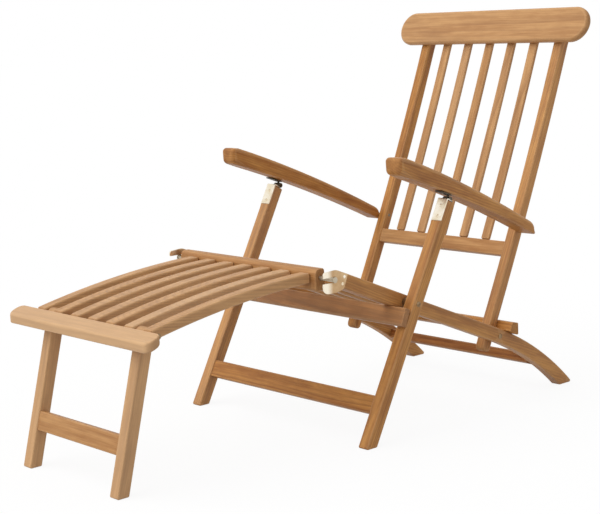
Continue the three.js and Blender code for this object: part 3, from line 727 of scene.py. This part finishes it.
def makeEndBoard(look):
    low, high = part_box("footrest_end_board")
    slope = (high.z - low.z - look["thick"]) / (high.y - low.y)
    corners = (low.x, low.y), (high.x, low.y), (high.x, high.y), (low.x, high.y)
    plan = rounded([Vector(corner) for corner in corners], look["planRound"], look["planSteps"])
    sheared = Matrix(((1, 0, 0), (0, 1, 0), (0, slope, 1)))
    start = low.z - slope * low.y
    mesh = boardMesh("endBoard", plan, [], sheared, start, start + look["thick"], look["edge"])
    return newObject("footrestEndBoard", mesh)


node = "footrest_end_board"
endBoard = makeEndBoard(endBoardLook)
smoothed(endBoard)
layGrain(endBoard, acrossChair, node, endBoardLook["slant"], endBoardLook["tone"])
ownPiece(endBoard, "footrestEndBoardWood", "footrest", slotOf[node], node)


# Slats made by one Geometry Nodes tree: a row of copies, each with grain of its own
class Graph(Paint):
    def __init__(self, name, sockets):
        tree = bpy.data.node_groups.new(name, "GeometryNodeTree")
        super().__init__(name, tree)
        self.keys = {}
        for label, kind in sockets.items():
            made = tree.interface.new_socket(name=label, in_out="INPUT", socket_type=kind)
            self.keys[label] = made.identifier
        tree.interface.new_socket(name="Geometry", in_out="OUTPUT", socket_type="NodeSocketGeometry")
        self.source = tree.nodes.new("NodeGroupInput")

    def given(self, label):
        return Signal(self, self.source.outputs[label])

    def store(self, geometry, name, value, kind="FLOAT_VECTOR", domain="POINT"):
        settings = {"data_type": kind, "domain": domain}
        inputs = {"Geometry": geometry, "Name": name, "Value": value}
        return self.add("GeometryNodeStoreNamedAttribute", settings, inputs)

    def named(self, name):
        settings = {"data_type": "FLOAT_VECTOR"}
        return self.add("GeometryNodeInputNamedAttribute", settings, {"Name": name})

    def copyOf(self, label):
        settings = {"transform_space": "ORIGINAL"}
        inputs = {"Object": self.given(label), "As Instance": True}
        return self.add("GeometryNodeObjectInfo", settings, inputs, "Geometry")

    # gives the geometry its finish and makes it the tree's result
    def result(self, geometry):
        inputs = {"Geometry": geometry, "Material": self.given("Finish")}
        finished = self.add("GeometryNodeSetMaterial", None, inputs)
        self.add("NodeGroupOutput", None, {"Geometry": finished})
        return self


def makeSlatRow():
    graph = Graph("slatRow", {
        "Geometry": "NodeSocketGeometry", "Slat": "NodeSocketObject", "Count": "NodeSocketInt",
        "Pitch": "NodeSocketFloat", "Tone": "NodeSocketFloat",
        "Finish": "NodeSocketMaterial", "Seed": "NodeSocketInt",
    })
    count, pitch = graph.given("Count"), graph.given("Pitch")
    start = graph.add("ShaderNodeCombineXYZ", None, {"X": (count - 1) * pitch * -0.5})
    offset = graph.add("ShaderNodeCombineXYZ", None, {"X": pitch})
    row = graph.add("GeometryNodeMeshLine", {"mode": "OFFSET"}, {
        "Count": count, "Start Location": start, "Offset": offset,
    })
    copies = graph.add("GeometryNodeInstanceOnPoints", None, {
        "Points": row, "Instance": graph.copyOf("Slat"),
    })
    shift = graph.add("FunctionNodeRandomValue", {"data_type": "FLOAT_VECTOR"}, {
        "Min": grainLook["rowLeast"], "Max": grainLook["rowMost"], "Seed": graph.given("Seed"),
    })
    copies = graph.store(copies, "shift", shift, domain="INSTANCE")
    slats = graph.add("GeometryNodeRealizeInstances", None, {"Geometry": copies})
    shifted = graph.named("shift")
    slats = graph.store(slats, "grain", graph.vectors("ADD", graph.named("grain"), shifted))
    level = graph.add("ShaderNodeSeparateXYZ", None, {0: shifted})
    tone = graph.given("Tone") + level * grainLook["rowTone"]
    return graph.result(graph.store(slats, "tone", tone, "FLOAT"))


def runTree(name, graph, values, mesh=None):
    made = newObject(name, mesh or bpy.data.meshes.new(name))
    modifier = made.modifiers.new("tree", "NODES")
    modifier.node_group = graph.tree
    for label, value in values.items():
        modifier[graph.keys[label]] = value
    made.update_tag()
    applyModifiers(made)
    for index in range(len(made.data.materials) - 1, 0, -1):
        made.data.materials.pop(index=index)
    return made


# Rows of slats: how many, how far apart, the run of the grain and the rounding
slatRows = {
    "back_slat": {
        "count": 5, "pitch": 0.070, "run": "back", "edge": 0.003, "corner": 0.0037,
        "tone": 0.42, "seed": 3,
    },
    "seat_slat": {
        "count": 5, "pitch": 0.070, "run": "rail", "edge": 0.0035, "corner": 0.0042,
        "tone": 0.5, "seed": 7,
    },
    # the footrest slats are paler as painted light
    "footrest_slat": {
        "count": 5, "pitch": 0.062, "run": "footrest", "edge": 0.004, "corner": 0.0047,
        "tone": 0.22, "seed": 12,
    },
}
slatRow = makeSlatRow()
for family, look in slatRows.items():
    first = family + "_1"
    made = roundedBoard(first, -acrossChair, upwards, look["edge"], look["corner"])
    low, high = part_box(first)
    made.data.transform(Matrix.Translation((-(low.x + high.x) / 2, 0, 0)))
    layGrain(made, runs[look["run"]], first)
    row = runTree(family + "Row", slatRow, {
        "Slat": made, "Count": look["count"], "Pitch": look["pitch"], "Tone": look["tone"],
        "Finish": finishes[slotOf[first]], "Seed": look["seed"],
    })
    bpy.data.objects.remove(made)
    smoothed(row)
    members = [f"{family}_{number + 1}" for number in range(look["count"])]
    ownPiece(row, pieceName(family) + "Row", bodyOf[first], slotOf[first], *members)
print("slats dressed")


# Brass fittings: turned pieces, plates and slotted screws
brassSizes = {
    "plateEdge": 0.0006, "lowerLeafEdge": 0.0005, "upperLeafEdge": 0.0004, "edgeSteps": 3,
    "boltRim": 0.0004, "pinRim": 0.0008, "barrelRim": 0.0006, "screwRim": 0.0002,
    "domeSteps": 6, "sides": 40, "slotWide": 0.0011, "slotDeep": 0.0009, "slotLong": 0.02,
    "belowAxis": -0.02, "leastRadius": 0.0001,
}


def dome(start, radius, rise):
    steps = brassSizes["domeSteps"]
    turns = [math.pi / 2 * step / steps for step in range(steps)]
    return [Vector((start + rise * math.sin(turn), radius * math.cos(turn))) for turn in turns]


# a piece turned round X: its profile runs back from its far end, and each place is a distance and
# a radius; the profile is closed below the axis, so that only its own corners are rounded
def turned(name, profile, centre, sign, rim):
    deep = brassSizes["belowAxis"]
    closed = [Vector((profile[-1].x, deep)), Vector((profile[0].x, deep)), *profile]
    smooth = rounded(closed, rim, brassSizes["edgeSteps"])
    shown = [p for p in smooth if p.y > brassSizes["leastRadius"]]
    sides = brassSizes["sides"]
    solid = bmesh.new()
    rings = []
    for point in shown:
        ring = []
        for side in range(sides):
            turn = 2 * math.pi * side / sides
            y, z = centre[0] + point.y * math.cos(turn), centre[1] + point.y * math.sin(turn)
            ring.append(solid.verts.new((sign * point.x, y, z)))
        rings.append(ring)
    for outer, inner in zip(rings, rings[1:]):
        for side in range(sides):
            other = (side + 1) % sides
            solid.faces.new((outer[side], outer[other], inner[other], inner[side]))
    solid.faces.new(rings[0][::-1])
    solid.faces.new(rings[-1])
    bmesh.ops.recalc_face_normals(solid, faces=solid.faces)
    mesh = bpy.data.meshes.new(name)
    solid.to_mesh(mesh)
    solid.free()
    return newObject(name, mesh)


def cutSlot(made, middle, turn):
    bpy.ops.mesh.primitive_cube_add(size=1, location=middle, rotation=(turn, 0, 0))
    cutter = bpy.context.object
    cutter.scale = (brassSizes["slotDeep"] * 2, brassSizes["slotLong"], brassSizes["slotWide"])
    return carve(made, cutter)


# a flat fitting without its holes, with fine edges
def brassPlate(name, outline, axes, low, high, edge):
    mesh = boardMesh(name, outline, [], axes, low, high, edge, None, brassSizes["edgeSteps"])
    return newObject(name, mesh)


# where a piece that lies along X has its middle, as Y and Z
def middleOf(node):
    low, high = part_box(node)
    return (low.y + high.y) / 2, (low.z + high.z) / 2


def joined(parts):
    whole = bmesh.new()
    for part in parts:
        whole.from_mesh(part.data)
        bpy.data.objects.remove(part)
    mesh = bpy.data.meshes.new("joined")
    whole.to_mesh(mesh)
    whole.free()
    return newObject("joined", mesh)


# the two shares, of dark brown and of a painted near-white highlight, are each a number or a
# function of the place; the dark brown is painted shade on the arm hinges and plain darkening on the
# bolts and pins
def brassPiece(made, node, tarnish=None, rub=None, finish="polishedBrass"):
    smoothed(made, brassAngle)
    mesh = made.data
    for name, share in (("tarnish", tarnish), ("rub", rub)):
        if share:
            values = [share(v.co) if callable(share) else share for v in mesh.vertices]
            mesh.attributes.new(name, "FLOAT", "POINT").data.foreach_set("value", values)
    ownPiece(made, pieceName(node) + "Brass", bodyOf[node], "brass", node)
    mesh.materials[0] = finishes[finish]
    return made


# Pivot bolts: domed and slotted heads, and collars between the members
boltLook = {
    "shank": 0.004, "collar": 0.010, "head": 0.006, "rise": 0.0022, "mostTurn": 3, "tarnish": 0.55,
}
# distances from the middle plane: inner end, both faces of the collar, foot of the head
boltSteps = {
    "leg_pivot_bolt": (0.229, 0.2563, 0.2677, 0.2963),
    "back_pivot_bolt": (0.2015, 0.2268, 0.2287, 0.2563),
    "footrest_leg_bolt": (0.141, 0.1693, 0.1717, 0.2003),
}
for family, (start, collarStart, collarEnd, headStart) in boltSteps.items():
    for side, sign in (("left", 1), ("right", -1)):
        node = family + "_" + side
        centre = middleOf(node)
        shank, collar = boltLook["shank"], boltLook["collar"]
        profile = dome(headStart, boltLook["head"], boltLook["rise"])[::-1] + [
            Vector((headStart, shank)), Vector((collarEnd, shank)), Vector((collarEnd, collar)),
            Vector((collarStart, collar)), Vector((collarStart, shank)), Vector((start, shank)),
        ]
        made = turned(node, profile, centre, sign, brassSizes["boltRim"])
        top = headStart + boltLook["rise"]
        turn = random.Random(node).uniform(0, boltLook["mostTurn"])
        made = cutSlot(made, (sign * top, *centre), turn)
        brassPiece(made, node, boltLook["tarnish"], None, "wornBrass")


# Pins: the footrest's have a broad head outside the hook plates
pinLooks = {
    "footrest_hook_pin": {"radius": 0.005, "head": 0.0065, "headThick": 0.003, "tarnish": 0.45},
    "arm_pin": {"radius": 0.0035, "tarnish": 0.85},
    "arm_hinge_pin": {"radius": 0.002},
}
for family, look in pinLooks.items():
    for side, sign in (("left", 1), ("right", -1)):
        node = family + "_" + side
        start, end = sorted(abs(corner.x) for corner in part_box(node))
        profile = [Vector((end, look["radius"])), Vector((start, look["radius"]))]
        if "head" in look:
            neck = end - look["headThick"]
            profile = [
                Vector((end, look["head"])), Vector((neck, look["head"])),
                Vector((neck, look["radius"])), profile[-1],
            ]
        made = turned(node, profile, middleOf(node), sign, brassSizes["pinRim"])
        brassPiece(made, node, look.get("tarnish"))


# Screws with slotted heads, set by one Geometry Nodes tree
screwLook = {
    "radius": 0.0036, "rise": 0.0014, "shank": 0.5, "shankLong": 0.003, "mostTurn": 3.1, "seed": 5,
    "apart": 0.001,
}


def makeScrewHead(look):
    shank = look["radius"] * look["shank"]
    profile = dome(0, look["radius"], look["rise"])[::-1]
    profile += [Vector((0, shank)), Vector((-look["shankLong"], shank))]
    made = turned("screwHead", profile, (0, 0), 1, brassSizes["screwRim"])
    made = cutSlot(made, (look["rise"], 0, 0), 0)
    made.data.transform(Matrix.Rotation(-math.pi / 2, 4, "Y"))
    return made


def makeScrewTree():
    graph = Graph("screwSet", {
        "Geometry": "NodeSocketGeometry", "Screw": "NodeSocketObject",
        "Finish": "NodeSocketMaterial", "Seed": "NodeSocketInt",
    })
    aimed = graph.add("FunctionNodeAlignRotationToVector", {"axis": "Z"}, {
        "Vector": graph.named("facing"),
    })
    angle = graph.add("FunctionNodeRandomValue", {"data_type": "FLOAT"}, {
        2: 0.0, 3: screwLook["mostTurn"], "Seed": graph.given("Seed"),
    }, 1)
    spin = graph.add("FunctionNodeAxisAngleToRotation", None, {"Axis": (0, 0, 1), "Angle": angle})
    turnedBy = graph.add("FunctionNodeRotateRotation", {"rotation_space": "LOCAL"}, {
        "Rotation": aimed, "Rotate By": spin,
    })
    copies = graph.add("GeometryNodeInstanceOnPoints", None, {
        "Points": graph.given("Geometry"), "Instance": graph.copyOf("Screw"), "Rotation": turnedBy,
    })
    return graph.result(graph.add("GeometryNodeRealizeInstances", None, {"Geometry": copies}))


screws = {}


# notes and returns the middles of the screw heads that stand out of a flat face of a fitting
def screwPlaces(node, facing):
    corners = [v.co for v in nodes[node].data.vertices]
    high = max(c.dot(facing) for c in corners) - outlineRules["levelWithin"]
    spots = []
    for corner in (c for c in corners if c.dot(facing) > high):
        if all((corner - spot).length > screwLook["apart"] for spot in spots):
            spots.append(corner)
    places = [spot - facing * screwLook["rise"] for spot in spots]
    screws.setdefault(bodyOf[node], []).extend((place, facing) for place in places)
    return places


# more faces on a flat piece, for what changes over it
def finely(made, size):
    solid = bmesh.new()
    solid.from_mesh(made.data)
    low = [min(v.co[axis] for v in solid.verts) for axis in (1, 2)]
    high = [max(v.co[axis] for v in solid.verts) for axis in (1, 2)]
    for axis in (0, 1):
        normal = Vector((0, 1 - axis, axis))
        for step in range(1, math.ceil((high[axis] - low[axis]) / size)):
            place = normal * (low[axis] + step * size)
            parts = [*solid.verts, *solid.edges, *solid.faces]
            bmesh.ops.bisect_plane(
                solid, geom=parts, dist=outlineRules["weld"], plane_co=place, plane_no=normal
            )
    solid.to_mesh(made.data)
    solid.free()
    return made


# Hook plates: the two lips of the slot, at the front, carry a painted near-white highlight
hookLook = {"thick": 0.003, "faces": 0.003, "rubLong": 0.026, "rubFade": 0.013}


def makeHookPlate(node, outward):
    face = abs(screwPlaces(node, outward)[0].x)
    outline, holes, axes, low, high = endOutlines(node, outward, upwards, face)
    made = brassPlate(node, outline, axes, face - hookLook["thick"], face, brassSizes["plateEdge"])
    finely(made, hookLook["faces"])
    mouth = min(v.co.y for v in made.data.vertices)

    def highlighted(spot):
        return max(0.0, min(1.0, (hookLook["rubLong"] - (spot.y - mouth)) / hookLook["rubFade"]))

    brassPiece(made, node, None, highlighted, "wornBrass")


# Arm hinges: the rolled parts round the pin and the upper leaf are painted dark brown as painted
# shade, the flat of the lower leaf is bright
hingeLook = {
    "wide": 0.020, "start": 0.2683, "radius": 0.006, "air": 0.0003,
    "filmOver": 0.001, "film": 0.95,
}
hingeThird = hingeLook["wide"] / 3


def makeLowerLeaf(node, inward, centre, sign):
    screwPlaces(node, falling(slopes["leg"]) * -1)
    outline, holes, axes, low, high = endOutlines(node, inward, upwards)
    parts = [brassPlate(node, outline, axes, low, high, brassSizes["lowerLeafEdge"])]
    for place in (0, 2):
        start = hingeLook["start"] + place * hingeThird
        profile = [Vector((x, hingeLook["radius"])) for x in (start + hingeThird, start)]
        parts.append(turned("barrel", profile, centre, sign, brassSizes["barrelRim"]))

    # painted shade, dark brown, on the barrels and close round them
    def film(spot):
        away = math.hypot(spot.y - centre[0], spot.z - centre[1])
        return hingeLook["film"] if away < hingeLook["radius"] + hingeLook["filmOver"] else 0.0

    brassPiece(joined(parts), node, film)


# a plate under the arm, and a web down to the middle barrel, painted dark brown as painted shade
def makeUpperLeaf(node, inward):
    start, wide, air = hingeLook["start"], hingeLook["wide"], hingeLook["air"]
    web = start + hingeThird + air, start + 2 * hingeThird - air
    parts = []
    for first, last in ((start, start + wide), web):
        outline, holes, axes, low, high = endOutlines(node, inward, upwards, -first)
        if parts:
            outline = sharpened(outline)
        parts.append(brassPlate(node, outline, axes, -last, -first, brassSizes["upperLeafEdge"]))
    brassPiece(joined(parts), node, hingeLook["film"])


screwGraph = makeScrewTree()
screwHead = makeScrewHead(screwLook)
for side, sign in (("left", 1), ("right", -1)):
    inward, centre = acrossChair * -sign, middleOf("arm_hinge_pin_" + side)
    makeHookPlate("hook_plate_" + side, -inward)
    makeLowerLeaf("leg_hinge_leaf_" + side, inward, centre, sign)
    makeUpperLeaf("arm_hinge_leaf_" + side, inward)

for body, held in screws.items():
    mesh = bpy.data.meshes.new("screwPlaces")
    mesh.from_pydata([place for place, facing in held], [], [])
    mesh.attributes.new("facing", "FLOAT_VECTOR", "POINT").data.foreach_set(
        "vector", [number for place, facing in held for number in facing]
    )
    made = runTree("screws", screwGraph, {
        "Screw": screwHead, "Finish": finishes["brass"], "Seed": screwLook["seed"],
    }, mesh)
    smoothed(made, brassAngle)
    ownPiece(made, pieceName(body) + "Screws", body, "brass")
bpy.data.objects.remove(screwHead)
print("brass dressed")


# Everything that is left of the frame takes its own finish
for node, shown in nodes.items():
    shown.data.materials.clear()
    shown.data.materials.append(finishes[slotOf[node]])


# Floor, lamps and camera
stageLook = {
    "ambient": 0.5, "floorShade": 0.16, "floorLift": 1.08, "floorAlbedo": 0.6, "floorReach": 30,
}
white = (1, 1, 1, 1)


# 1 where a ray shows the surface itself, straight, in a mirror or through glass
def plainlySeen(paint):
    rays = ("Is Camera Ray", "Is Glossy Ray", "Is Transmission Ray")
    camera, glossy, passing = (paint.add("ShaderNodeLightPath", None, None, ray) for ray in rays)
    return (camera + glossy + passing).maths("MINIMUM", 1)


def makeFloorPaint():
    paint = Paint("paleFloor")
    grey = (*[stageLook["floorAlbedo"]] * 3, 1)
    matt = paint.add("ShaderNodeBsdfDiffuse", None, {"Color": grey})
    glow = {"Color": white, "Strength": stageLook["floorLift"]}
    bright = paint.add("ShaderNodeEmission", None, glow)
    share = plainlySeen(paint) * (1 - stageLook["floorShade"])
    return paint.finish(paint.add("ShaderNodeMixShader", None, {0: share, 1: matt, 2: bright}))


def makeWorld():
    world = bpy.data.worlds.new("paleRoom")
    world.use_nodes = True
    paint = Paint("paleRoom", world.node_tree)
    strength = plainlySeen(paint) * (1 - stageLook["ambient"]) + stageLook["ambient"]
    glow = paint.add("ShaderNodeBackground", None, {"Color": white, "Strength": strength})
    paint.add("ShaderNodeOutputWorld", None, {"Surface": glow})
    bpy.context.scene.world = world


reach = stageLook["floorReach"]
floorCorners = [(-reach, -reach, 0), (reach, -reach, 0), (reach, reach, 0), (-reach, reach, 0)]
floorMesh = bpy.data.meshes.new("floor")
floorMesh.from_pydata(floorCorners, [], [(0, 1, 2, 3)])
floor = newObject("floor", floorMesh)
floor.data.materials.append(makeFloorPaint())
makeWorld()

# distant lamps: the way the light comes from, how wide it looks and how strong it is
lamps = {
    "keyLamp": {"from": (-0.42, -0.62, 0.78), "wide": 70, "strength": 1.9, "glare": False},
    "fillLamp": {"from": (0.85, -0.35, 0.5), "wide": 60, "strength": 0.25, "glare": True},
}
for name, look in lamps.items():
    lamp = bpy.data.lights.new(name, "SUN")
    lamp.angle = math.radians(look["wide"])
    lamp.energy = look["strength"]
    made = newObject(name, lamp)
    made.rotation_euler = Vector(look["from"]).to_track_quat("Z", "Y").to_euler()
    made.visible_glossy = look["glare"]

# the camera of the photograph: angles in degrees, lens and sensor in millimetres
cameraLook = {
    "place": (2.4641, -2.22355, 0.8928), "azimuth": 48.332, "elevation": 9.026, "roll": -2.318,
    "lens": 89.73, "sensor": 36,
}


def makeCamera(look):
    lens = bpy.data.cameras.new("photoCamera")
    lens.lens = look["lens"]
    lens.sensor_width = look["sensor"]
    made = newObject("photoCamera", lens)
    azimuth, elevation, roll = (math.radians(look[key]) for key in ("azimuth", "elevation", "roll"))
    level = Vector((math.sin(azimuth), -math.cos(azimuth), 0))
    back = level * math.cos(elevation) + upwards * math.sin(elevation)
    right = Vector((math.cos(azimuth), math.sin(azimuth), 0))
    up = back.cross(right)
    across = right * math.cos(roll) + up * math.sin(roll)
    rise = up * math.cos(roll) - right * math.sin(roll)
    turn = Matrix((across, rise, back)).transposed().to_4x4()
    made.matrix_world = Matrix.Translation(look["place"]) @ turn
    bpy.context.scene.camera = made


makeCamera(cameraLook)
bpy.context.scene.view_settings.view_transform = "Standard"
print("stage ready")
